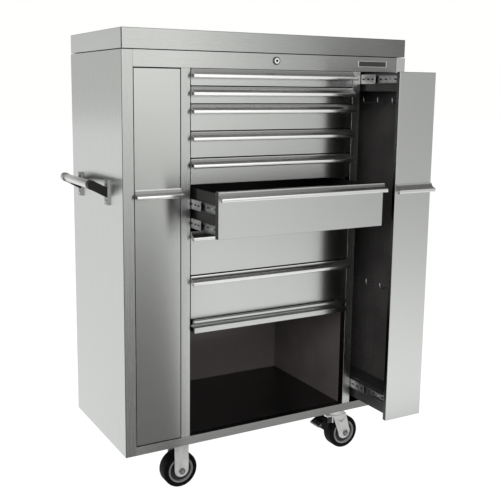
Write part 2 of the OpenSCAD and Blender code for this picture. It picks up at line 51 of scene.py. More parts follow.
ahead = Vector((
    math.sin(camera_turn) * math.cos(camera_tip),
    math.cos(camera_turn) * math.cos(camera_tip),
    -math.sin(camera_tip),
))
level_right = Vector((math.cos(camera_turn), -math.sin(camera_turn), 0))
level_up = level_right.cross(ahead)
rightward = level_right * math.cos(camera_lean) + level_up * math.sin(camera_lean)
upward = level_up * math.cos(camera_lean) - level_right * math.sin(camera_lean)
camera = bpy.data.objects.new("camera", bpy.data.cameras.new("camera"))
camera.matrix_world = Matrix((
    (rightward.x, upward.x, -ahead.x, camera_place.x),
    (rightward.y, upward.y, -ahead.y, camera_place.y),
    (rightward.z, upward.z, -ahead.z, camera_place.z),
    (0, 0, 0, 1),
))
camera.data.lens = 58.36
camera.data.sensor_width = 36
camera.data.shift_x = 0.0451
camera.data.shift_y = -0.0505
camera.data.clip_start = 0.05
camera.data.clip_end = 60
bpy.context.scene.collection.objects.link(camera)
bpy.context.scene.camera = camera


# ---- Studio ----
# A white room: a pale floor, a soft grey sky for the metal to mirror, lighter on the
# left and darker on the right, and three broad lamps.
def clear_choice():
    """Leaves edit mode and deselects everything."""
    if bpy.context.object and bpy.context.object.mode != "OBJECT":
        bpy.ops.object.mode_set(mode="OBJECT")
    bpy.ops.object.select_all(action="DESELECT")


def new_material(name):
    """An empty procedural material, with its nodes, its links and its main shader."""
    material = bpy.data.materials.new(name)
    material.use_nodes = True
    tree = material.node_tree
    return material, tree.nodes, tree.links, tree.nodes["Principled BSDF"]


def spread(nodes, links, value, low, high, out_low, out_high):
    """The value, stretched from one range to another."""
    stretch = nodes.new("ShaderNodeMapRange")
    stretch.inputs["From Min"].default_value = low
    stretch.inputs["From Max"].default_value = high
    stretch.inputs["To Min"].default_value = out_low
    stretch.inputs["To Max"].default_value = out_high
    links.new(value, stretch.inputs["Value"])
    return stretch.outputs["Result"]


def sums(nodes, links):
    """A function that does one step of arithmetic among those nodes, on sockets or plain numbers."""
    def step(kind, *values):
        node = nodes.new("ShaderNodeMath")
        node.operation = kind
        for socket, value in zip(node.inputs, values):
            if hasattr(value, "links"):
                links.new(value, socket)
            else:
                socket.default_value = value
        return node.outputs[0]
    return step


def own_place(nodes, links, kind="Object"):
    """The X, Y and Z sockets of a point on the piece (or of its normal), in the piece's own frame."""
    place = nodes.new("ShaderNodeTexCoord")
    split = nodes.new("ShaderNodeSeparateXYZ")
    links.new(place.outputs[kind], split.inputs[0])
    return split.outputs


def soft_lamp(name, place, target, width, height, power):
    """A broad lamp that lights the chest and isn't mirrored in it."""
    lamp = bpy.data.objects.new(name, bpy.data.lights.new(name, "AREA"))
    lamp.data.shape = "RECTANGLE"
    lamp.data.size = width
    lamp.data.size_y = height
    lamp.data.energy = power
    lamp.visible_glossy = False
    lamp.location = place
    lamp.rotation_euler = (Vector(target) - Vector(place)).to_track_quat("-Z", "Y").to_euler()
    bpy.context.scene.collection.objects.link(lamp)


soft_lamp("lamp_left", (-2.6, -4.2, 3.6), (0, 0, 0.7), 2.6, 2.6, 90)
soft_lamp("lamp_right", (3.4, -2.0, 3.4), (0, 0, 0.7), 2.0, 2.0, 30)
soft_lamp("lamp_top", (0, 0.2, 4.4), (0, 0, 0.7), 3.0, 3.0, 60)

world = bpy.data.worlds.new("studio")
world.use_nodes = True
bpy.context.scene.world = world
sky_nodes = world.node_tree.nodes
sky_links = world.node_tree.links
sky = sky_nodes["Background"]
sky_back_level = 0.66
sky_way = own_place(sky_nodes, sky_links, "Generated")
sky_right = spread(sky_nodes, sky_links, sky_way["X"], 0.4, 0.64, 1.7, 0.52)
sky_back = spread(sky_nodes, sky_links, sky_way["Y"], -0.1, 0.4, 0, 1)
sky_side = sky_nodes.new("ShaderNodeMix")
sky_side.inputs["B"].default_value = sky_back_level
sky_links.new(sky_back, sky_side.inputs["Factor"])
sky_links.new(sky_right, sky_side.inputs["A"])
sky_up = spread(sky_nodes, sky_links, sky_way["Z"], 0.1, 0.42, 1.0, 0.2)
sky_level = sums(sky_nodes, sky_links)("MULTIPLY", sky_side.outputs["Result"], sky_up)
sky_seen = sky_nodes.new("ShaderNodeLightPath")
sky_mix = sky_nodes.new("ShaderNodeMix")
sky_mix.inputs["B"].default_value = 1.0
sky_links.new(sky_seen.outputs["Is Camera Ray"], sky_mix.inputs["Factor"])
sky_links.new(sky_level, sky_mix.inputs["A"])
sky_links.new(sky_mix.outputs["Result"], sky.inputs["Strength"])
sky.inputs["Color"].default_value = (1, 1, 0.985, 1)
bpy.context.scene.view_settings.view_transform = "Standard"

clear_choice()
bpy.ops.mesh.primitive_plane_add(size=60, location=(0, 0, -0.0005))
floor = bpy.context.object
floor.name = "studio_floor"
paper, paper_nodes, paper_links, paper_shader = new_material("white_paper")
paper_at = own_place(paper_nodes, paper_links)
paper_sum = sums(paper_nodes, paper_links)

# The metal mirrors a darker part of the floor, to the left of a slanting line, and a close dark strip.
floor_slant = 0.44
dark_tone = (0.06, 0.06, 0.06, 1)
pale_tone = (0.9, 0.9, 0.89, 1)
paper_line = paper_sum("MULTIPLY_ADD", paper_at["Y"], floor_slant, paper_at["X"])
paper_left = spread(paper_nodes, paper_links, paper_line, -0.44, -0.33, 1, 0)
paper_near = spread(paper_nodes, paper_links, paper_at["Y"], -0.3, -0.1, 1, 0)
paper_far = spread(paper_nodes, paper_links, paper_at["Y"], -6.5, -3.6, 0, 1)
paper_close = spread(paper_nodes, paper_links, paper_at["Y"], -0.85, -0.65, 0, 0.8)
paper_shape = paper_sum("MAXIMUM", paper_sum("MULTIPLY", paper_left, paper_far), paper_close)
paper_dark = paper_sum("MULTIPLY", paper_shape, paper_near)
paper_tone = paper_nodes.new("ShaderNodeValToRGB")
paper_tone.color_ramp.elements[0].color = pale_tone
paper_tone.color_ramp.elements[1].color = dark_tone
paper_links.new(paper_dark, paper_tone.inputs["Fac"])
paper_links.new(paper_tone.outputs["Color"], paper_shader.inputs["Base Color"])

# The paper glows a little, as under even light, less far away and to the right and not in its dark part.
glow_seen = 0.95
glow_dark = -0.78
paper_glow = paper_nodes.new("ShaderNodeEmission")
paper_glow.inputs["Color"].default_value = (1, 1, 1, 1)
paper_glow.inputs["Strength"].default_value = 1.08
paper_seen = paper_nodes.new("ShaderNodeLightPath")
paper_bright = spread(paper_nodes, paper_links, paper_at["Y"], -5.5, -1.2, 0.42, 0.84)
paper_right = spread(paper_nodes, paper_links, paper_at["X"], 1.1, 2.6, 1, 0.6)
paper_lit = paper_sum("MULTIPLY", paper_bright, paper_right)
paper_even = paper_sum("MULTIPLY_ADD", paper_dark, glow_dark, paper_lit)
paper_plain = paper_sum("MULTIPLY", paper_seen.outputs["Is Camera Ray"], glow_seen)
paper_share = paper_sum("MAXIMUM", paper_plain, paper_even)
paper_mix = paper_nodes.new("ShaderNodeMixShader")
paper_links.new(paper_share, paper_mix.inputs["Fac"])
paper_links.new(paper_shader.outputs[0], paper_mix.inputs[1])
paper_links.new(paper_glow.outputs[0], paper_mix.inputs[2])
paper_links.new(paper_mix.outputs[0], paper_nodes["Material Output"].inputs["Surface"])
floor.data.materials.append(paper)


# ---- Cabinet shell ----
# The outer skin is brushed stainless sheet about 1.5 mm thick, folded and spot welded.
# Its edges are broken by a small radius; inside faces are painted dark grey.
def streaks(nodes, links, grain, fine, coarse):
    """Two noise values drawn out along an axis (0, 1 or 2), a fine and a coarse one."""
    place = nodes.new("ShaderNodeTexCoord")
    values = []
    for across_grain, along_grain in (fine, coarse):
        stretch = nodes.new("ShaderNodeMapping")
        scale = [across_grain] * 3
        scale[grain] = along_grain
        stretch.inputs["Scale"].default_value = scale
        noise = nodes.new("ShaderNodeTexNoise")
        noise.inputs["Scale"].default_value = 1
        noise.inputs["Detail"].default_value = 3
        links.new(place.outputs["Object"], stretch.inputs["Vector"])
        links.new(stretch.outputs["Vector"], noise.inputs["Vector"])
        values.append(noise.outputs["Fac"])
    return values


def two_tones(nodes, links, value, first, second, low=0.35, high=0.65):
    """A colour that goes from one tone to another as the value rises."""
    ramp = nodes.new("ShaderNodeValToRGB")
    ramp.color_ramp.elements[0].position = low
    ramp.color_ramp.elements[0].color = (*first, 1)
    ramp.color_ramp.elements[1].position = high
    ramp.color_ramp.elements[1].color = (*second, 1)
    links.new(value, ramp.inputs["Fac"])
    return ramp.outputs["Color"]


def raise_grain(nodes, links, shader, value, strength, depth):
    """Lets a value show as fine relief on the surface."""
    bump = nodes.new("ShaderNodeBump")
    bump.inputs["Strength"].default_value = strength
    bump.inputs["Distance"].default_value = depth
    links.new(value, bump.inputs["Height"])
    links.new(bump.outputs["Normal"], shader.inputs["Normal"])


def brushed_steel(
    name, grain, dark=(0.626, 0.639, 0.623), light=(0.645, 0.658, 0.642), rough=0.26, across=(0, 0.3, 1)
):
    """Stainless sheet: fine scratches along the grain, which blur what it mirrors the other way."""
    material, nodes, links, shader = new_material(name)
    fine, coarse = streaks(nodes, links, grain, (1300, 5), (330, 26))
    broad = spread(nodes, links, coarse, 0, 1, 0.14, 0.46)
    blend = sums(nodes, links)("MULTIPLY_ADD", fine, 0.45, broad)
    links.new(two_tones(nodes, links, blend, dark, light), shader.inputs["Base Color"])
    shader.inputs["Metallic"].default_value = 1
    shader.inputs["Anisotropic"].default_value = 0.9
    blur_way = nodes.new("ShaderNodeVectorTransform")
    blur_way.inputs["Vector"].default_value = across
    blur_way.convert_from = "OBJECT"
    blur_way.convert_to = "WORLD"
    links.new(blur_way.outputs["Vector"], shader.inputs["Tangent"])
    links.new(spread(nodes, links, fine, 0.3, 0.7, rough - 0.015, rough + 0.02), shader.inputs["Roughness"])
    raise_grain(nodes, links, shader, fine, 0.005, 0.0001)
    return material


def powder_coat(name, dark, light, rough=0.45, pebble=900):
    """Sprayed and baked paint with a faint orange peel and a little dust."""
    material, nodes, links, shader = new_material(name)
    fine, coarse = streaks(nodes, links, 0, (pebble, pebble), (9, 9))
    links.new(two_tones(nodes, links, coarse, dark, light), shader.inputs["Base Color"])
    links.new(spread(nodes, links, coarse, 0.3, 0.7, rough * 0.92, rough * 1.1), shader.inputs["Roughness"])
    raise_grain(nodes, links, shader, fine, 0.18, 0.0003)
    return material


def part_metal(material, share, paint=None, metal=None):
    """Paint where the share is 0 and bare metal where it is 1. A colour left out is the material's own."""
    nodes, links = material.node_tree.nodes, material.node_tree.links
    shader = nodes["Principled BSDF"]
    tone = nodes.new("ShaderNodeMix")
    tone.data_type = "RGBA"
    links.new(share, tone.inputs["Factor"])
    for socket, colour in ((tone.inputs["A"], paint), (tone.inputs["B"], metal)):
        if colour is None:
            links.new(shader.inputs["Base Color"].links[0].from_socket, socket)
        elif hasattr(colour, "links"):
            links.new(colour, socket)
        else:
            socket.default_value = (*colour, 1)
    links.new(tone.outputs["Result"], shader.inputs["Base Color"])
    links.new(share, shader.inputs["Metallic"])
    return material


def painted_inside(name, grain, axis, sign, paint, across):
    """Brushed steel on the face that points outwards along the axis, paint on the rest."""
    material = brushed_steel(name, grain, across=across)
    nodes, links = material.node_tree.nodes, material.node_tree.links
    facing = own_place(nodes, links, "Normal")[axis]
    return part_metal(material, spread(nodes, links, facing, 0.3 * sign, 0.6 * sign, 0, 1), paint=paint)


def tint(material, value):
    """Multiplies a material's colour by a value."""
    nodes, links = material.node_tree.nodes, material.node_tree.links
    shader = nodes["Principled BSDF"]
    tone = nodes.new("ShaderNodeVectorMath")
    tone.operation = "SCALE"
    links.new(shader.inputs["Base Color"].links[0].from_socket, tone.inputs[0])
    links.new(value, tone.inputs["Scale"])
    links.new(tone.outputs["Vector"], shader.inputs["Base Color"])
    return material


def fade_along(material, low, high, tone_low, tone_high):
    """Scales a metal's colour from one tone to another along the piece's own X."""
    nodes, links = material.node_tree.nodes, material.node_tree.links
    along = own_place(nodes, links)["X"]
    return tint(material, spread(nodes, links, along, low, high, tone_low, tone_high))


def shaded_folds(name, grain, across, **looks):
    """Brushed steel painted dull and dark on its folded sides: painted shade for the narrow gaps that hide
    them.
    """
    fold_shade_tone = 0.12
    material = brushed_steel(name, grain, across=across, **looks)
    nodes, links = material.node_tree.nodes, material.node_tree.links
    facing = own_place(nodes, links, "Normal")["Y"]
    return tint(material, spread(nodes, links, facing, -0.8, -0.45, 1, fold_shade_tone))


def soften(piece, width, segments=2):
    """Breaks the sharp edges of a piece with a live bevel."""
    bevel = piece.modifiers.new("edges", "BEVEL")
    bevel.width = width
    bevel.segments = segments
    bevel.limit_method = "ANGLE"
    bevel.angle_limit = math.radians(35)
    even = piece.modifiers.new("even", "WEIGHTED_NORMAL")
    even.weight = 90
    for face in piece.data.polygons:
        face.use_smooth = True


def dress_node(name, material, edge=0.0006, segments=2):
    """Gives a CAD node its finish, joins its loose triangles and breaks its sharp edges."""
    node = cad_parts[name]
    node.data.materials.clear()
    node.data.materials.append(material)
    weld = node.modifiers.new("weld", "WELD")
    weld.merge_threshold = 0.00002
    soften(node, edge, segments)


steel_level = brushed_steel("stainless_brushed_level", 0)

# The fades are painted into the sheet's colour: painted reflections of a room that is lighter on one side,
# and on the posts also painted shade for the thin seam beside each side panel.
steel_upright = shaded_folds("stainless_brushed_upright", 2, (0.1, 0.3, 1))
# Painted reflection: the posts turn lighter to the right of x = 0.2 to 0.3.
fade_along(steel_upright, 0.2, 0.3, 1.0, 1.3)
seam_x = 0.5254
seam_half = 0.0003
seam_shade_tone = 0.3
# Painted shade: a thin dark line down each post at the seam beside a side panel.
fade_along(steel_upright, -seam_x - seam_half, -seam_x + seam_half, seam_shade_tone, 1.0)
fade_along(steel_upright, seam_x - seam_half, seam_x + seam_half, 1.0, seam_shade_tone)
charcoal = powder_coat("charcoal_powder_coat", (0.035, 0.033, 0.033), (0.052, 0.049, 0.048))
dark_inside = (0.14, 0.124, 0.12)
side_blur = (0, 1, 0.1)
dress_node("side_panel_left", painted_inside("side_sheet_left", 2, "X", -1, dark_inside, side_blur))
dress_node("side_panel_right", painted_inside("side_sheet_right", 2, "X", 1, dark_inside, side_blur))
dress_node("back_panel", painted_inside("back_sheet", 2, "Y", 1, dark_inside, (1, 0, 0)))
dress_node("front_posts", steel_upright)
steel_rail = shaded_folds("stainless_rail", 0, (0, 0.3, 1))
# Painted reflection: the rail darkens towards the right.
fade_along(steel_rail, -0.35, 0.5, 1.04, 0.6)
dress_node("header_rail", steel_rail)
steel_sill = shaded_folds("stainless_sill", 0, (0, 0.3, 1))
# Painted reflection: the sill is lighter at its left end and darker further right.
fade_along(steel_sill, -0.5, -0.25, 1.2, 0.6)
dress_node("bottom_rail", steel_sill)
warm_grey = powder_coat("compartment_paint", (0.12, 0.105, 0.102), (0.155, 0.138, 0.133), 0.42)
floor_black = powder_coat("compartment_floor", (0.006, 0.006, 0.006), (0.012, 0.011, 0.011), 0.3)
dress_node("divider_walls", warm_grey)
dress_node("base_pan", floor_black)
dress_node("bay_ceiling", charcoal)


# ---- Top cap ----
# A deep lid folded from one stainless sheet. Its flanges meet at the corners with a
# narrow open seam, and it sits on a set-back ring that leaves a thin gap; the ring is black, as painted
# shade in the gap.
def block(name, low, high):
    """A block between two corners, with its place in its mesh."""
    clear_choice()
    middle = [(a + b) / 2 for a, b in zip(low, high)]
    size = [b - a for a, b in zip(low, high)]
    bpy.ops.mesh.primitive_cube_add(size=1, location=middle, scale=size)
    bpy.ops.object.transform_apply(location=True, rotation=True, scale=True)
    piece = bpy.context.object
    piece.name = name
    return piece


def pick(piece, kind, test):
    """Enters edit mode with only those faces or edges chosen whose middle and direction pass the test."""
    clear_choice()
    bpy.context.view_layer.objects.active = piece
    piece.select_set(True)
    bpy.ops.object.mode_set(mode="EDIT")
    bpy.ops.mesh.select_mode(type=kind)
    bpy.ops.mesh.select_all(action="DESELECT")
    bpy.ops.object.mode_set(mode="OBJECT")
    points = piece.data.vertices
    if kind == "FACE":
        for face in piece.data.polygons:
            face.select = test(face.center, face.normal)
    else:
        for edge in piece.data.edges:
            a, b = (points[i].co for i in edge.vertices)
            edge.select = test((a + b) / 2, (b - a).normalized())
    bpy.ops.object.mode_set(mode="EDIT")


def thicken(piece, sheet):
    """Turns a surface into sheet metal of that thickness, inwards."""
    clear_choice()
    bpy.context.view_layer.objects.active = piece
    wall = piece.modifiers.new("wall", "SOLIDIFY")
    wall.thickness = sheet
    wall.offset = -1
    bpy.ops.object.modifier_apply(modifier=wall.name)


def fit(piece, material, body):
    """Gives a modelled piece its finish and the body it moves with."""
    clear_choice()
    piece.data.materials.clear()
    piece.data.materials.append(material)
    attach(piece, body)


cap_low, cap_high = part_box("top_cap")
cap_gap_h = 0.0026
cap_bottom = cap_low.z + cap_gap_h
cap_sheet = 0.001
cap_fold = 0.002
cap_slit = 0.0026
close_by = 0.001
cap_lid = block("cap_lid", (cap_low.x, cap_low.y, cap_bottom), cap_high)
pick(cap_lid, "FACE", lambda c, n: n.z < -0.5)
bpy.ops.mesh.delete(type="FACE")
pick(cap_lid, "EDGE", lambda c, d: c.z > cap_high.z - close_by)
bpy.ops.mesh.bevel(offset=cap_fold, segments=3, affect="EDGES")
pick(cap_lid, "EDGE", lambda c, d: abs(d.z) > 0.9 and abs(c.x) > cap_high.x - close_by)
bpy.ops.mesh.bevel(offset=cap_slit, segments=1, affect="EDGES")
pick(cap_lid, "FACE", lambda c, n: abs(n.x) > 0.5 and abs(n.y) > 0.5 and abs(n.z) < 0.1)
bpy.ops.mesh.delete(type="FACE")
thicken(cap_lid, cap_sheet)
soften(cap_lid, 0.0003, 1)
cap_steel = brushed_steel("stainless_cap", 0, rough=0.27)
# Painted reflection: the lid darkens towards the right.
fade_along(cap_steel, -0.35, 0.5, 1.02, 0.46)
fit(cap_lid, cap_steel, "cabinet")
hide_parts("top_cap")

ring_in = 0.012
ring_wide = 0.013
ring_top = cap_bottom + 0.0016
cap_ring = block(
    "cap_seat_ring",
    (cap_low.x + ring_in, cap_low.y + ring_in, cap_low.z),
    (cap_high.x - ring_in, cap_high.y - ring_in, ring_top),
)
pick(cap_ring, "FACE", lambda c, n: abs(n.z) > 0.5)
bpy.ops.mesh.inset(thickness=ring_wide)
bpy.ops.mesh.delete(type="FACE")
pick(cap_ring, "EDGE", lambda c, d: abs(c.x) < cap_high.x - 0.01 and abs(c.y) < cap_high.y - 0.01)
bpy.ops.mesh.bridge_edge_loops()
soften(cap_ring, 0.0002, 1)
# The ring's black is painted shade in the gap under the lid.
fit(cap_ring, floor_black, "cabinet")


# ---- Drawer fronts ----
# Each front is a shallow pan folded from brushed stainless sheet, screwed to the
# drawer box from inside. Its corners and edges have a small bend radius.
def folded_pan(name, low, high, bend=0.0014, sheet=0.0012):
    """A pan that is open at the back (+Y), with rounded folds."""
    pan = block(name, low, high)
    pick(pan, "FACE", lambda c, n: n.y > 0.5)
    bpy.ops.mesh.delete(type="FACE")
    pick(pan, "EDGE", lambda c, d: c.y < high[1] - 0.0001)
    bpy.ops.mesh.bevel(offset=bend, segments=3, affect="EDGES")
    thicken(pan, sheet)
    for face in pan.data.polygons:
        face.use_smooth = True
    even = pan.modifiers.new("even", "WEIGHTED_NORMAL")
    even.weight = 90
    return pan


drawers = range(1, 9)
front_steel = shaded_folds("stainless_drawer_front", 0, (0, 0.3, 1), rough=0.25)
pull_out = 0.025
for i in drawers:
    low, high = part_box(f"drawer_{i}_front")
    pan = folded_pan(f"drawer_{i}_front_pan", (low.x, low.y + pull_out, low.z), high)
    fit(pan, front_steel, f"drawer_{i}_body")
    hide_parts(f"drawer_{i}_front")


# ---- Pulls ----
# Full-width stainless pulls, roll-formed from strip: a short flat on top, a hollow
# slope down to an upright nose, and a hem rolled under and back inside.
def drawn_strip(name, x0, x1, profile, sheet):
    """Sheet metal across X that follows (y, z) points, the first two of them level."""
    clear_choice()
    (y0, z0), (y1, _) = profile[0], profile[1]
    bpy.ops.mesh.primitive_plane_add(size=1, location=((x0 + x1) / 2, (y0 + y1) / 2, z0))
    strip = bpy.context.object
    strip.name = name
    strip.scale = (x1 - x0, y0 - y1, 1)
    bpy.ops.object.transform_apply(location=True, rotation=True, scale=True)
    pick(strip, "EDGE", lambda c, d: c.y < (y0 + y1) / 2 - 0.0001 and abs(d.x) > 0.9)
    for (ya, za), (yb, zb) in zip(profile[1:], profile[2:]):
        bpy.ops.mesh.extrude_region_move(TRANSFORM_OT_translate={"value": (0, yb - ya, zb - za)})
    thicken(strip, sheet)
    clear_choice()
    strip.select_set(True)
    bpy.context.view_layer.objects.active = strip
    bpy.ops.object.shade_smooth_by_angle(angle=math.radians(40))
    return strip


def arc(y, z, radius, first, last, steps):
    """Points of an arc, from one angle to another in degrees."""
    turns = [math.radians(first + (last - first) * i / steps) for i in range(steps + 1)]
    return [(y + radius * math.cos(a), z + radius * math.sin(a)) for a in turns]


def again(piece, name, matrix):
    """A copy of a piece with a mesh of its own, carried elsewhere."""
    copy = piece.copy()
    copy.data = piece.data.copy()
    copy.name = name
    copy.parent = None
    bpy.context.scene.collection.objects.link(copy)
    copy.data.transform(matrix)
    return copy


pull_profile = (
    [(0, 0), (-0.0035, 0)]
    + arc(-0.022, 0.0025, 0.0175, -8, -88, 9)
    + arc(-0.0219, -0.0175, 0.0025, 110, 180, 4)
    + arc(-0.0218, -0.0248, 0.0032, 180, 270, 5)
    + arc(-0.0165, -0.0255, 0.0025, 270, 420, 6)
)
pull_steel = brushed_steel("stainless_pull", 0, (0.93, 0.935, 0.925), (0.97, 0.975, 0.965), rough=0.2)
pull_steel.node_tree.nodes["Principled BSDF"].inputs["Anisotropic"].default_value = 0.2
pull_sheet = 0.0016
drawer_low, drawer_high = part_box("drawer_1_front")
drawer_pull = drawn_strip("pull_pattern", drawer_low.x, drawer_high.x, pull_profile, pull_sheet)
for i in drawers:
    low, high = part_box(f"drawer_{i}_front")
    pull = again(drawer_pull, f"drawer_{i}_pull", Matrix.Translation((0, low.y + pull_out, high.z)))
    fit(pull, pull_steel, f"drawer_{i}_body")
bpy.data.objects.remove(drawer_pull)


# ---- Rack fronts ----
# The tall front of each pull-out rack is one folded stainless pan, with a short pull
# of the same section part-way up.
rack_pull_top = 1.008
tall_dark = (0.62, 0.632, 0.616)
tall_light = (0.64, 0.652, 0.636)
rack_steel = shaded_folds(
    "stainless_rack_front", 0, (0, 0.3, 1), dark=tall_dark, light=tall_light, rough=0.22
)
# Painted reflection: the rack fronts turn lighter towards the right.
fade_along(rack_steel, -0.34, 0.34, 0.94, 1.12)
for side in ("left", "right"):
    low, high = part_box(f"rack_{side}_front")
    pan = folded_pan(f"rack_{side}_front_pan", (low.x, low.y + pull_out, low.z), high)
    fit(pan, rack_steel, f"rack_{side}")
    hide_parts(f"rack_{side}_front")
    pull = drawn_strip(f"rack_{side}_pull", low.x, high.x, pull_profile, pull_sheet)
    pull.data.transform(Matrix.Translation((0, low.y + pull_out, rack_pull_top)))
    fit(pull, pull_steel, f"rack_{side}")


# ---- Drawer boxes and racks ----
# The boxes and rack frames are folded from thinner sheet, spot welded and painted.
# The zinc plated inner channels of their ball slides are screwed to the sides.
def painted_with_channels(name, dark, light, edge, outwards):
    """Satin black paint, but bright zinc on the channels past a distance from the middle plane."""
    material = powder_coat(name, dark, light, 0.4)
    nodes, links = material.node_tree.nodes, material.node_tree.links
    far = sums(nodes, links)("ABSOLUTE", own_place(nodes, links)["X"])
    near, past = (0, 1) if outwards else (1, 0)
    share = spread(nodes, links, far, edge - 0.00005, edge + 0.00005, near, past)
    cloud = nodes.new("ShaderNodeTexNoise")
    cloud.inputs["Scale"].default_value = 60
    links.new(nodes.new("ShaderNodeTexCoord").outputs["Object"], cloud.inputs["Vector"])
    bright = two_tones(nodes, links, cloud.outputs["Fac"], (0.36, 0.36, 0.37), (0.5, 0.5, 0.51))
    return part_metal(material, share, metal=bright)


box_half = 0.2923
rack_in = 0.3487
paint_over = 0.0001
box_dark, box_light = (0.012, 0.011, 0.011), (0.02, 0.019, 0.019)
rack_dark, rack_light = (0.02, 0.019, 0.019), (0.032, 0.03, 0.03)
box_paint = painted_with_channels("drawer_box_paint", box_dark, box_light, box_half + paint_over, True)
rack_paint = painted_with_channels("rack_paint", rack_dark, rack_light, rack_in - paint_over, False)
rack_x = {"left": -1, "right": 1}
for i in drawers:
    dress_node(f"drawer_{i}", box_paint, 0.0004, 1)
for side in rack_x:
    dress_node(f"rack_{side}_frame", rack_paint, 0.0004, 1)


# ---- Drawer liners ----
# A ribbed black rubber mat is laid loose in the bottom of every drawer. It is cut a
# little small, with rounded corners.
def ribbed_rubber(name, dark, light):
    """Matt black rubber with close ribs across the mat."""
    material, nodes, links, shader = new_material(name)
    fine, coarse = streaks(nodes, links, 0, (500, 500), (14, 14))
    links.new(two_tones(nodes, links, coarse, dark, light), shader.inputs["Base Color"])
    links.new(spread(nodes, links, fine, 0.3, 0.7, 0.55, 0.75), shader.inputs["Roughness"])
    ribs = nodes.new("ShaderNodeTexWave")
    ribs.inputs["Scale"].default_value = 60
    links.new(nodes.new("ShaderNodeTexCoord").outputs["Object"], ribs.inputs["Vector"])
    raise_grain(nodes, links, shader, ribs.outputs["Fac"], 0.8, 0.0008)
    return material


liner_rubber = ribbed_rubber("liner_rubber", (0.01, 0.01, 0.01), (0.02, 0.02, 0.02))
tray_sheet = 0.0012
mat_gap = 0.003
mat_thick = 0.002
mat_corner = 0.006
for i in drawers:
    low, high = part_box(f"drawer_{i}")
    mat = block(
        f"drawer_{i}_liner",
        (mat_gap + tray_sheet - box_half, low.y + tray_sheet + mat_gap, low.z + tray_sheet),
        (box_half - tray_sheet - mat_gap, high.y - tray_sheet - mat_gap, low.z + tray_sheet + mat_thick),
    )
    pick(mat, "EDGE", lambda c, d: abs(d.z) > 0.9)
    bpy.ops.mesh.bevel(offset=mat_corner, segments=4, affect="EDGES")
    soften(mat, 0.0005, 2)
    fit(mat, liner_rubber, f"drawer_{i}_body")


# ---- Pegboards ----
# Steel sheet punched with a hole every inch, painted dark grey, spot welded between
# the rack's two end plates.
hole_pitch = 0.0254
hole_r = 0.0032
peg_paint = powder_coat("pegboard_paint", (0.05, 0.047, 0.047), (0.072, 0.068, 0.067), 0.5)
for side in rack_x:
    low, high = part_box(f"rack_{side}_pegboard")
    columns = int((high.y - low.y) / hole_pitch)
    rows = int((high.z - low.z) / hole_pitch)
    clear_choice()
    bpy.ops.mesh.primitive_plane_add(size=hole_pitch, rotation=(0, math.radians(90), 0))
    bpy.ops.object.transform_apply(rotation=True)
    board = bpy.context.object
    board.name = f"rack_{side}_punched_board"
    bpy.ops.object.mode_set(mode="EDIT")
    bpy.ops.mesh.select_all(action="SELECT")
    bpy.ops.mesh.subdivide(number_cuts=1)
    bpy.ops.mesh.select_all(action="DESELECT")
    bpy.ops.mesh.select_mode(type="VERT")
    bpy.ops.object.mode_set(mode="OBJECT")
    for point in board.data.vertices:
        point.select = point.co.length < 0.001
    bpy.ops.object.mode_set(mode="EDIT")
    bpy.ops.mesh.bevel(offset=hole_r, segments=3, affect="VERTICES", profile=0.5)
    pick(board, "FACE", lambda c, n: c.length < 0.001)
    bpy.ops.mesh.delete(type="FACE")
    bpy.ops.object.mode_set(mode="OBJECT")
    for axis, count in ((1, columns), (2, rows)):
        repeat = board.modifiers.new("repeat", "ARRAY")
        repeat.use_relative_offset = False
        repeat.use_constant_offset = True
        step = [0, 0, 0]
        step[axis] = hole_pitch
        repeat.constant_offset_displace = step
        repeat.count = count
        repeat.use_merge_vertices = True
        repeat.merge_threshold = 0.0001
        bpy.ops.object.modifier_apply(modifier=repeat.name)
    wide = (high.y - low.y) / (columns * hole_pitch)
    tall = (high.z - low.z) / (rows * hole_pitch)
    start = (high.x, low.y + hole_pitch / 2 * wide, low.z + hole_pitch / 2 * tall)
    board.data.transform(Matrix.Translation(start) @ Matrix.Diagonal((1, wide, tall, 1)))
    thicken(board, high.x - low.x)
    fit(board, peg_paint, f"rack_{side}")
    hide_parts(f"rack_{side}_pegboard")


# ---- Ball slides ----
# Three nested channels of rolled strip, zinc plated, on each side of a drawer. The
# outer one is fixed to the cabinet and the inner one is screwed to the drawer.
def zinc_plate(name, dark=(0.42, 0.42, 0.43), light=(0.58, 0.58, 0.59), rough=0.34):
    """Bright zinc: a cloudy grey metal with a fine spangle."""
    material, nodes, links, shader = new_material(name)
    fine, coarse = streaks(nodes, links, 0, (420, 420), (38, 38))
    links.new(two_tones(nodes, links, coarse, dark, light), shader.inputs["Base Color"])
    links.new(spread(nodes, links, fine, 0.3, 0.7, rough - 0.08, rough + 0.1), shader.inputs["Roughness"])
    shader.inputs["Metallic"].default_value = 1
    raise_grain(nodes, links, shader, fine, 0.08, 0.0002)
    return material


def turned(name, points, steps=48):
    """A round piece about Z: a circle is extruded and scaled through (height, radius) points."""
    clear_choice()
    z, radius = points[0]
    bpy.ops.mesh.primitive_circle_add(vertices=steps, radius=radius, location=(0, 0, z))
    bpy.ops.object.transform_apply(location=True)
    piece = bpy.context.object
    piece.name = name
    bpy.ops.object.mode_set(mode="EDIT")
    bpy.ops.mesh.select_mode(type="VERT")
    bpy.ops.mesh.select_all(action="SELECT")
    for next_z, next_radius in points[1:]:
        bpy.ops.mesh.extrude_region_move(TRANSFORM_OT_translate={"value": (0, 0, next_z - z)})
        share = next_radius / radius
        bpy.ops.transform.resize(value=(share, share, 1), center_override=(0, 0, next_z))
        z, radius = next_z, next_radius
    bpy.ops.mesh.select_all(action="SELECT")
    bpy.ops.mesh.remove_doubles(threshold=0.000002)
    bpy.ops.mesh.normals_make_consistent(inside=False)
    bpy.ops.object.mode_set(mode="OBJECT")
    clear_choice()
    piece.select_set(True)
    bpy.context.view_layer.objects.active = piece
    bpy.ops.object.shade_smooth_by_angle(angle=math.radians(32))
    return piece


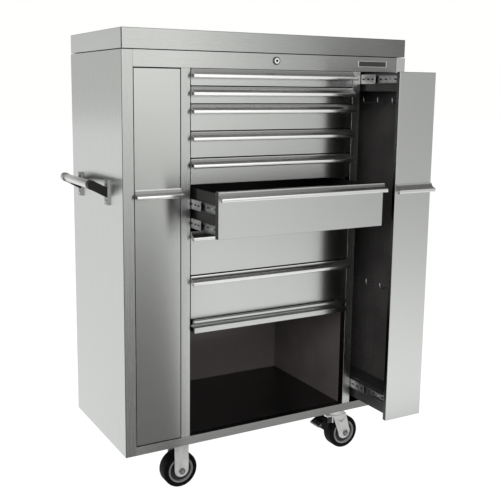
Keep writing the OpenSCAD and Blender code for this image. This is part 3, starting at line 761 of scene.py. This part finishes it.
def aim(direction, place):
    """The matrix that carries +Z at the origin to a direction at a place."""
    return Matrix.Translation(place) @ Vector(direction).to_track_quat("Z", "Y").to_matrix().to_4x4()


zinc = zinc_plate("zinc_plated_strip", (0.48, 0.475, 0.485), (0.66, 0.655, 0.665))
dress_node("fixed_slides", zinc, 0.0003, 1)
for i in drawers:
    dress_node(f"drawer_{i}_slides", zinc, 0.0003, 1)
for side in rack_x:
    dress_node(f"rack_{side}_slides", zinc, 0.0003, 1)

pole = 0.0000005
screw = turned("screw_pattern", [
    (0, pole), (0, 0.0039), (0.0009, 0.0039), (0.0017, 0.0031), (0.0021, 0.0018),
    (0.0013, 0.0013), (0.0011, pole),
], 20)
slot_half_len = 0.0065
slot_half_w = 0.0026
slot = block("slot_pattern", (-slot_half_len, -slot_half_w, -0.0001), (slot_half_len, slot_half_w, 0.0002))
pick(slot, "EDGE", lambda c, d: abs(d.z) > 0.9)
bpy.ops.mesh.bevel(offset=slot_half_w - 0.0001, segments=4, affect="EDGES")
clear_choice()
# The slots aren't cut through: thin black patches on the webs are painted shade that stands for them.
slot_shade = powder_coat("slot_shadow", (0.004, 0.004, 0.004), (0.008, 0.008, 0.008), 0.7)
slot_places = (0.014, 0.062, 0.088, 0.180)
screw_places = (0.036, 0.132, 0.324)


def punched(name, web_x, out, front_y, level, body, screwed):
    """Black patches of painted shade for the slots along one slide member's web, and screws if it is the
    one fixed to the drawer.
    """
    flat_on_web = Matrix(((0, 0, out, 0), (1, 0, 0, 0), (0, out, 0, 0), (0, 0, 0, 1)))
    place = Matrix.Translation((web_x, front_y, level)) @ flat_on_web
    for n, along in enumerate(slot_places if screwed else slot_places + screw_places):
        hole = again(slot, f"{name}_slot_{n}", place @ Matrix.Translation((along, 0, 0)))
        fit(hole, slot_shade, body)
    for n, along in enumerate(screw_places if screwed else ()):
        head = again(screw, f"{name}_screw_{n}", place @ Matrix.Translation((along, 0, 0)))
        fit(head, zinc, body)


slide_start = 0.004
slide_half_h = 0.0154
slide_sheet = 0.0012
deep_from = 6
second_up = 0.06
for i in drawers:
    low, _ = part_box(f"drawer_{i}")
    mid_low, mid_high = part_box(f"drawer_{i}_slides")
    first = mid_low.z + slide_half_h
    levels = [first] if i < deep_from else [first, first + second_up]
    for n, level in enumerate(levels):
        for side, out in rack_x.items():
            tag = f"drawer_{i}_{side}_{n}"
            inner_x = out * (box_half + slide_sheet)
            punched(tag + "_inner", inner_x, out, low.y + slide_start, level, f"drawer_{i}_body", True)
            punched(tag + "_middle", out * mid_high.x, out, mid_low.y, level, f"drawer_{i}_mid", False)
for side, out in rack_x.items():
    low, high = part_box(f"rack_{side}_frame")
    mid_low, mid_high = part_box(f"rack_{side}_slides")
    mid_x = mid_high.x if side == "left" else mid_low.x
    inner_x = out * (rack_in - slide_sheet)
    for n, level in enumerate((mid_low.z + slide_half_h, mid_high.z - slide_half_h)):
        tag = f"rack_{side}_{n}"
        punched(tag + "_inner", inner_x, -out, low.y + slide_start, level, f"rack_{side}", True)
        punched(tag + "_middle", mid_x, -out, mid_low.y, level, f"rack_{side}_mid", False)
bpy.data.objects.remove(screw)
bpy.data.objects.remove(slot)


# ---- Hooks ----
# Zinc plated wire hooks hang in the holes of the pegboards. Each reaches straight out
# and is bent up at the end.
wire_r = 0.0021
hook_reach = 0.034
bend_r = 0.007
bend_steps = 6
hook_tip = 0.012
clear_choice()
bpy.ops.mesh.primitive_circle_add(vertices=12, radius=wire_r)
hook = bpy.context.object
bpy.ops.object.mode_set(mode="EDIT")
bpy.ops.mesh.select_mode(type="VERT")
bpy.ops.mesh.select_all(action="SELECT")
bpy.ops.mesh.extrude_region_move(TRANSFORM_OT_translate={"value": (0, 0, hook_reach)})
for n in range(bend_steps):
    bpy.ops.mesh.extrude_region_move(TRANSFORM_OT_translate={"value": (0, 0, 0)})
    bpy.ops.transform.rotate(
        value=math.radians(90 / bend_steps), orient_axis="X", center_override=(0, bend_r, hook_reach)
    )
bpy.ops.mesh.extrude_region_move(TRANSFORM_OT_translate={"value": (0, hook_tip, 0)})
bpy.ops.mesh.extrude_region_move(TRANSFORM_OT_translate={"value": (0, 0.001, 0)})
bpy.ops.transform.resize(value=(0.6, 1, 0.6))
bpy.ops.mesh.edge_face_add()
bpy.ops.mesh.select_all(action="SELECT")
bpy.ops.mesh.normals_make_consistent(inside=False)
clear_choice()
hook.select_set(True)
bpy.ops.object.shade_smooth_by_angle(angle=math.radians(40))
hook_turn = Matrix(((0, 0, -1, 0), (-1, 0, 0, 0), (0, 1, 0, 0), (0, 0, 0, 1)))
hook_holes = ((2, 38), (5, 38), (8, 38), (11, 38), (3, 13), (6, 13), (10, 13), (13, 25))
for side in rack_x:
    low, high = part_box(f"rack_{side}_pegboard")
    for n, (back, up) in enumerate(hook_holes):
        place = (low.x, low.y + hole_pitch * (back + 0.5), low.z + hole_pitch * (up + 0.5))
        peg = again(hook, f"rack_{side}_hook_{n}", Matrix.Translation(place) @ hook_turn)
        fit(peg, zinc, f"rack_{side}")
bpy.data.objects.remove(hook)


# ---- Flip-up door ----
# A folded pan, stowed level under the lowest drawer, with a pull along its front edge.
# It turns on two pins at the ends of a carriage that rolls in a pair of tracks.
dress_node("door_tracks", zinc, 0.0003, 1)
dress_node("door_carriage", zinc, 0.0005, 2)
dress_node("door_panel", steel_level, 0.0006, 2)


# ---- Lock ----
# A chromed cam lock in the middle of the header: a raised ring, set into the rail from
# the front, and a turning barrel with a dark face.
def polished(name, dark, light, rough=0.12):
    """Smooth bright metal with a few fine wiping marks."""
    material, nodes, links, shader = new_material(name)
    fine, coarse = streaks(nodes, links, 1, (500, 60), (25, 8))
    links.new(two_tones(nodes, links, coarse, dark, light), shader.inputs["Base Color"])
    links.new(spread(nodes, links, fine, 0.3, 0.7, rough - 0.03, rough + 0.05), shader.inputs["Roughness"])
    shader.inputs["Metallic"].default_value = 1
    raise_grain(nodes, links, shader, fine, 0.04, 0.0001)
    return material


chrome = polished("polished_chrome", (0.7, 0.7, 0.7), (0.8, 0.8, 0.8))
lock_ring = polished("dark_chrome_ring", (0.09, 0.09, 0.09), (0.14, 0.14, 0.14), 0.2)
dress_node("lock_housing", lock_ring, 0.0008, 3)
dress_node("lock_barrel", chrome, 0.0004, 2)
barrel_low, barrel_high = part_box("lock_barrel")
key_r = 0.0042
key_points = [(0, pole), (0, key_r), (0.0003, key_r), (0.0004, key_r - 0.0003), (0.0004, pole)]
key_face = turned("lock_key_face", key_points, 32)
key_face.data.transform(aim((0, -1, 0), (0, barrel_low.y - 0.00005, (barrel_low.z + barrel_high.z) / 2)))
# The barrel's dark face is in the slots' black, as painted shade for the keyhole.
fit(key_face, slot_shade, "lock")


# ---- Push handle ----
# A polished stainless tube through two black cast brackets on the left side. Each
# bracket's foot is held by two round-headed screws.
bar_low, bar_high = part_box("push_handle")
foot_low, foot_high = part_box("handle_brackets")
foot_thick = 0.007
ferrule_y = 0.1

# The brackets' feet and the ferrule behind the rear one are bright zones on the same material.
cast_black = powder_coat("black_cast_paint", (0.008, 0.008, 0.008), (0.014, 0.014, 0.014), 0.42, 500)
cast_nodes, cast_links = cast_black.node_tree.nodes, cast_black.node_tree.links
cast_at = own_place(cast_nodes, cast_links)
cast_sum = sums(cast_nodes, cast_links)
ferrule_out = spread(cast_nodes, cast_links, cast_at["X"], bar_high.x + 0.0025, bar_high.x + 0.0015, 0, 1)
ferrule_back = spread(cast_nodes, cast_links, cast_at["Y"], ferrule_y, ferrule_y + 0.01, 0, 1)
foot_edge = foot_high.x - foot_thick
on_foot = spread(cast_nodes, cast_links, cast_at["X"], foot_edge - 0.0002, foot_edge + 0.0002, 0, 1)
bare = cast_sum("MAXIMUM", cast_sum("MULTIPLY", ferrule_out, ferrule_back), on_foot)
part_metal(cast_black, bare, metal=(0.62, 0.63, 0.62))
cast_nodes["Principled BSDF"].inputs["Specular IOR Level"].default_value = 0.35
dress_node("handle_brackets", cast_black, 0.002, 3)
bar_r = (bar_high.x - bar_low.x) / 2
bar_wall = 0.0016
bar_len = bar_high.y - bar_low.y
tube = turned("push_handle_tube", [
    (0.002, pole), (0.002, bar_r - bar_wall), (0, bar_r - bar_wall), (0, bar_r - 0.0003),
    (0.0003, bar_r), (bar_len - 0.006, bar_r), (bar_len - 0.003, bar_r - 0.0008),
    (bar_len - 0.001, bar_r - 0.0028), (bar_len, bar_r - 0.006), (bar_len, pole),
])
tube.data.transform(aim((0, 1, 0), ((bar_low.x + bar_high.x) / 2, bar_low.y, (bar_low.z + bar_high.z) / 2)))
bar_steel = polished("polished_tube", (0.62, 0.63, 0.62), (0.74, 0.75, 0.74), 0.16)
fit(tube, bar_steel, "cabinet")
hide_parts("push_handle")
foot_middle = foot_low.z + 0.039
screw_head = turned("handle_screw", [
    (0, pole), (0, 0.0056), (0.0012, 0.0056), (0.0026, 0.0046), (0.0034, 0.0026),
    (0.0022, 0.0018), (0.0018, pole),
], 24)
foot_along = (-0.1095, 0.146)
screw_up = 0.029
screw_spots = [(along, up) for along in foot_along for up in (-screw_up, screw_up)]
for n, (along, up) in enumerate(screw_spots):
    head = again(screw_head, f"handle_screw_{n}", aim((-1, 0, 0), (foot_edge, along, foot_middle + up)))
    fit(head, bar_steel, "cabinet")
bpy.data.objects.remove(screw_head)


# ---- Back panel rivets ----
# The back sheet is fixed to the returns of the side panels with aluminium pop rivets,
# one row up each side.
rivet_r = 0.0042
rivet_high = 0.0012
rivet = turned("rivet_pattern", [
    (0, rivet_r), (0.0003, rivet_r), (0.0009, 0.0034), (rivet_high, 0.002), (rivet_high, pole),
], 16)
rivet_aluminium = polished("rivet_aluminium", (0.5, 0.5, 0.5), (0.6, 0.6, 0.6), 0.35)
back_low, back_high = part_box("back_panel")
rivet_in = 0.012
rivet_rows = 7
rivet_step = (back_high.z - back_low.z - 2 * rivet_in) / (rivet_rows - 1)
for side in rack_x:
    rivet_x = back_low.x + rivet_in if side == "left" else back_high.x - rivet_in
    for n in range(rivet_rows):
        rivet_place = (rivet_x, back_high.y, back_low.z + rivet_in + n * rivet_step)
        head = again(rivet, f"back_rivet_{side}_{n}", aim((0, 1, 0), rivet_place))
        fit(head, rivet_aluminium, "cabinet")
bpy.data.objects.remove(rivet)


# ---- Casters ----
# Four casters with 120 mm wheels: rigid forks on the left, swivel forks with a foot
# brake on the right. Pressed zinc plated forks, grey cores with black rubber tyres.
wheel_low, wheel_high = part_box("wheel_left_rear")
caster_y = (wheel_low.y + wheel_high.y) / 2
bolt_out = 0.0312
bolt_top = 0.08
arm_start = 0.2
arm_end = 0.289
arm_under = 0.1335
bolt_shade = 0.72
arm_shade = 0.93

# The axle bolts and the lower part of the swivel arms are darker zones on the same material.
caster_zinc = zinc_plate("caster_zinc", (0.78, 0.78, 0.77), (0.92, 0.92, 0.91), 0.5)
fork_nodes, fork_links = caster_zinc.node_tree.nodes, caster_zinc.node_tree.links
fork_nodes["Principled BSDF"].inputs["Metallic"].default_value = 0.6
fork_at = own_place(fork_nodes, fork_links)
fork_sum = sums(fork_nodes, fork_links)
from_middle = fork_sum("ABSOLUTE", fork_at["Y"])
off_wheel = fork_sum("ABSOLUTE", fork_sum("SUBTRACT", from_middle, caster_y))
past_leg = fork_sum("GREATER_THAN", off_wheel, bolt_out)
on_bolt = fork_sum("MULTIPLY", past_leg, fork_sum("LESS_THAN", fork_at["Z"], bolt_top))
past_arm = fork_sum("GREATER_THAN", fork_at["X"], arm_start)
on_arm = fork_sum("MULTIPLY", past_arm, fork_sum("LESS_THAN", fork_at["X"], arm_end))
low_arm = fork_sum("MULTIPLY", on_arm, fork_sum("LESS_THAN", fork_at["Z"], arm_under))
fork_shade = fork_sum(
    "MAXIMUM", fork_sum("MULTIPLY", on_bolt, bolt_shade), fork_sum("MULTIPLY", low_arm, arm_shade)
)
tint(caster_zinc, fork_sum("MULTIPLY_ADD", fork_shade, -1.0, 1.0))
for name in ("rigid_forks", "swivel_plates", "swivel_fork_front", "swivel_fork_rear"):
    dress_node(name, caster_zinc, 0.0012, 2)
pedal_zinc = zinc_plate("brake_pedal_zinc", (0.14, 0.14, 0.14), (0.22, 0.22, 0.22), 0.42)
fade_along(pedal_zinc, 0.244, 0.248, 1.0, 0.12)
for name in ("brake_pedal_front", "brake_pedal_rear"):
    dress_node(name, pedal_zinc, 0.0015, 2)
rubber = powder_coat("black_rubber", (0.002, 0.002, 0.002), (0.004, 0.004, 0.004), 0.6, 700)
rubber.node_tree.nodes["Principled BSDF"].inputs["Specular IOR Level"].default_value = 0.1
disc_black = powder_coat("black_wheel_disc", (0.009, 0.009, 0.01), (0.018, 0.018, 0.019), 0.4, 600)
core_grey = powder_coat("grey_wheel_core", (0.2, 0.2, 0.205), (0.26, 0.26, 0.265), 0.4, 600)
rim_r = 0.044
half_w = 0.024
bore_r = 0.0061
shoulder_r = 0.007
shoulder_mid = 0.053
shoulder = [
    (half_w - shoulder_r + shoulder_r * math.cos(a), shoulder_mid + shoulder_r * math.sin(a))
    for a in (1.57, 1.2, 0.9, 0.6, 0.3)
]
tyre = turned("tyre_pattern", (
    [(-half_w + 0.002, rim_r), (-half_w + 0.0005, rim_r + 0.0015), (-half_w, rim_r + 0.004)]
    + [(-half_w, shoulder_mid - 0.001)]
    + [(-along, radius) for along, radius in reversed(shoulder)]
    + shoulder
    + [(half_w, shoulder_mid - 0.001)]
    + [(half_w, rim_r + 0.004), (half_w - 0.0005, rim_r + 0.0015), (half_w - 0.002, rim_r)]
    + [(-half_w + 0.002, rim_r)]
), 96)
ring_r = 0.0365
ring_deep = 0.007
core = turned("core_ring_pattern", (
    [(0, rim_r), (half_w - 0.001, rim_r), (half_w, rim_r - 0.001), (half_w, ring_r + 0.0022)]
    + [(half_w - 0.001, ring_r + 0.0012), (half_w - ring_deep, ring_r), (-half_w + ring_deep, ring_r)]
    + [(-half_w + 0.001, ring_r + 0.0012), (-half_w, ring_r + 0.0022), (-half_w, rim_r - 0.001)]
    + [(-half_w + 0.001, rim_r), (0, rim_r)]
), 72)
disc_r = ring_r + 0.0004
hub_side = [
    (half_w - ring_deep, disc_r), (half_w - ring_deep - 0.0002, 0.0215), (half_w - 0.0062, 0.019),
    (half_w - 0.0005, 0.017), (half_w, 0.0165), (half_w, 0.0075), (half_w - 0.001, bore_r),
]
disc = turned("disc_pattern", (
    [(0, disc_r)] + hub_side + [(-along, radius) for along, radius in reversed(hub_side)] + [(0, disc_r)]
), 72)
for corner in ("left_front", "left_rear", "right_front", "right_rear"):
    low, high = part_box(f"wheel_{corner}")
    place = aim((0, 1, 0), (low + high) / 2)
    rim = again(core, f"wheel_{corner}_core", place)
    fit(rim, core_grey, f"wheel_{corner}_body")
    middle = again(disc, f"wheel_{corner}_disc", place)
    fit(middle, disc_black, f"wheel_{corner}_body")
    band = again(tyre, f"wheel_{corner}_tyre", place)
    fit(band, rubber, f"wheel_{corner}_body")
    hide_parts(f"wheel_{corner}")
bpy.data.objects.remove(tyre)
bpy.data.objects.remove(core)
bpy.data.objects.remove(disc)

end_r = 0.0045
bolt_end = turned("axle_end_pattern", [
    (0, pole), (0, end_r), (0.0018, end_r), (0.0024, end_r - 0.0007), (0.0024, pole),
], 20)
# The pressed V ribs are darker than the fork: painted shade of the pressing.
rib_shade_zinc = zinc_plate("pressed_rib_shade_zinc", (0.22, 0.22, 0.22), (0.32, 0.32, 0.32), 0.45)
rib = block("pressed_rib_pattern", (-0.0015, -0.0015, -0.0004), (0.0125, 0.0015, 0.0011))
pick(rib, "FACE", lambda c, n: n.z > 0.5)
bpy.ops.transform.resize(value=(0.9, 0.5, 1), center_override=(0.0055, 0, 0.0011))
soften(rib, 0.0004, 2)
leg_face = half_w + 0.007
end_face = leg_face + 0.006
rib_back = 0.019
rib_up = 0.046
fork_bodies = {
    "left_front": "cabinet", "left_rear": "cabinet",
    "right_front": "swivel_front", "right_rear": "swivel_rear",
}
for corner, body in fork_bodies.items():
    low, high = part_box(f"wheel_{corner}")
    axle = (low + high) / 2
    rib_leans = () if body == "cabinet" else (45, 135)
    for out in (-1, 1):
        place = aim((0, out, 0), (axle.x, axle.y + out * end_face, axle.z))
        fit(again(bolt_end, f"{corner}_axle_end_{out + 1}", place), zinc, body)
        for lean in rib_leans:
            on_leg = Matrix.Translation((axle.x - rib_back, axle.y + out * leg_face, axle.z + rib_up))
            leaning = Matrix.Rotation(math.radians(-lean), 4, "Y")
            outwards = Matrix.Rotation(math.radians(-90 * out), 4, "X")
            pressed = again(rib, f"{corner}_rib_{out + 1}_{lean}", on_leg @ leaning @ outwards)
            fit(pressed, rib_shade_zinc, body)
bpy.data.objects.remove(bolt_end)
bpy.data.objects.remove(rib)


# ---- Nameplate ----
# A small blank plate, glued on the right of the header: a chromed frame around a dark
# painted field.
plate_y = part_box("header_rail")[0].y
plate_thick = 0.0018
plate_left, plate_right = 0.325, 0.445
plate_bottom, plate_top = 1.388, 1.408
plate_edge = 0.0021
nameplate = block(
    "nameplate", (plate_left, plate_y - plate_thick, plate_bottom), (plate_right, plate_y, plate_top)
)
pick(nameplate, "FACE", lambda c, n: n.y < -0.5)
bpy.ops.mesh.inset(thickness=0.002)
bpy.ops.mesh.extrude_region_move(TRANSFORM_OT_translate={"value": (0, 0.0008, 0)})
soften(nameplate, 0.0003, 2)
fit(nameplate, chrome, "cabinet")
name_field = block(
    "nameplate_field",
    (plate_left + plate_edge, plate_y - 0.0013, plate_bottom + plate_edge),
    (plate_right - plate_edge, plate_y - 0.0002, plate_top - plate_edge),
)
pick(name_field, "FACE", lambda c, n: n.y < -0.5)
bpy.ops.mesh.inset(thickness=0.001)
soften(name_field, 0.0003, 1)
fit(name_field, charcoal, "cabinet")
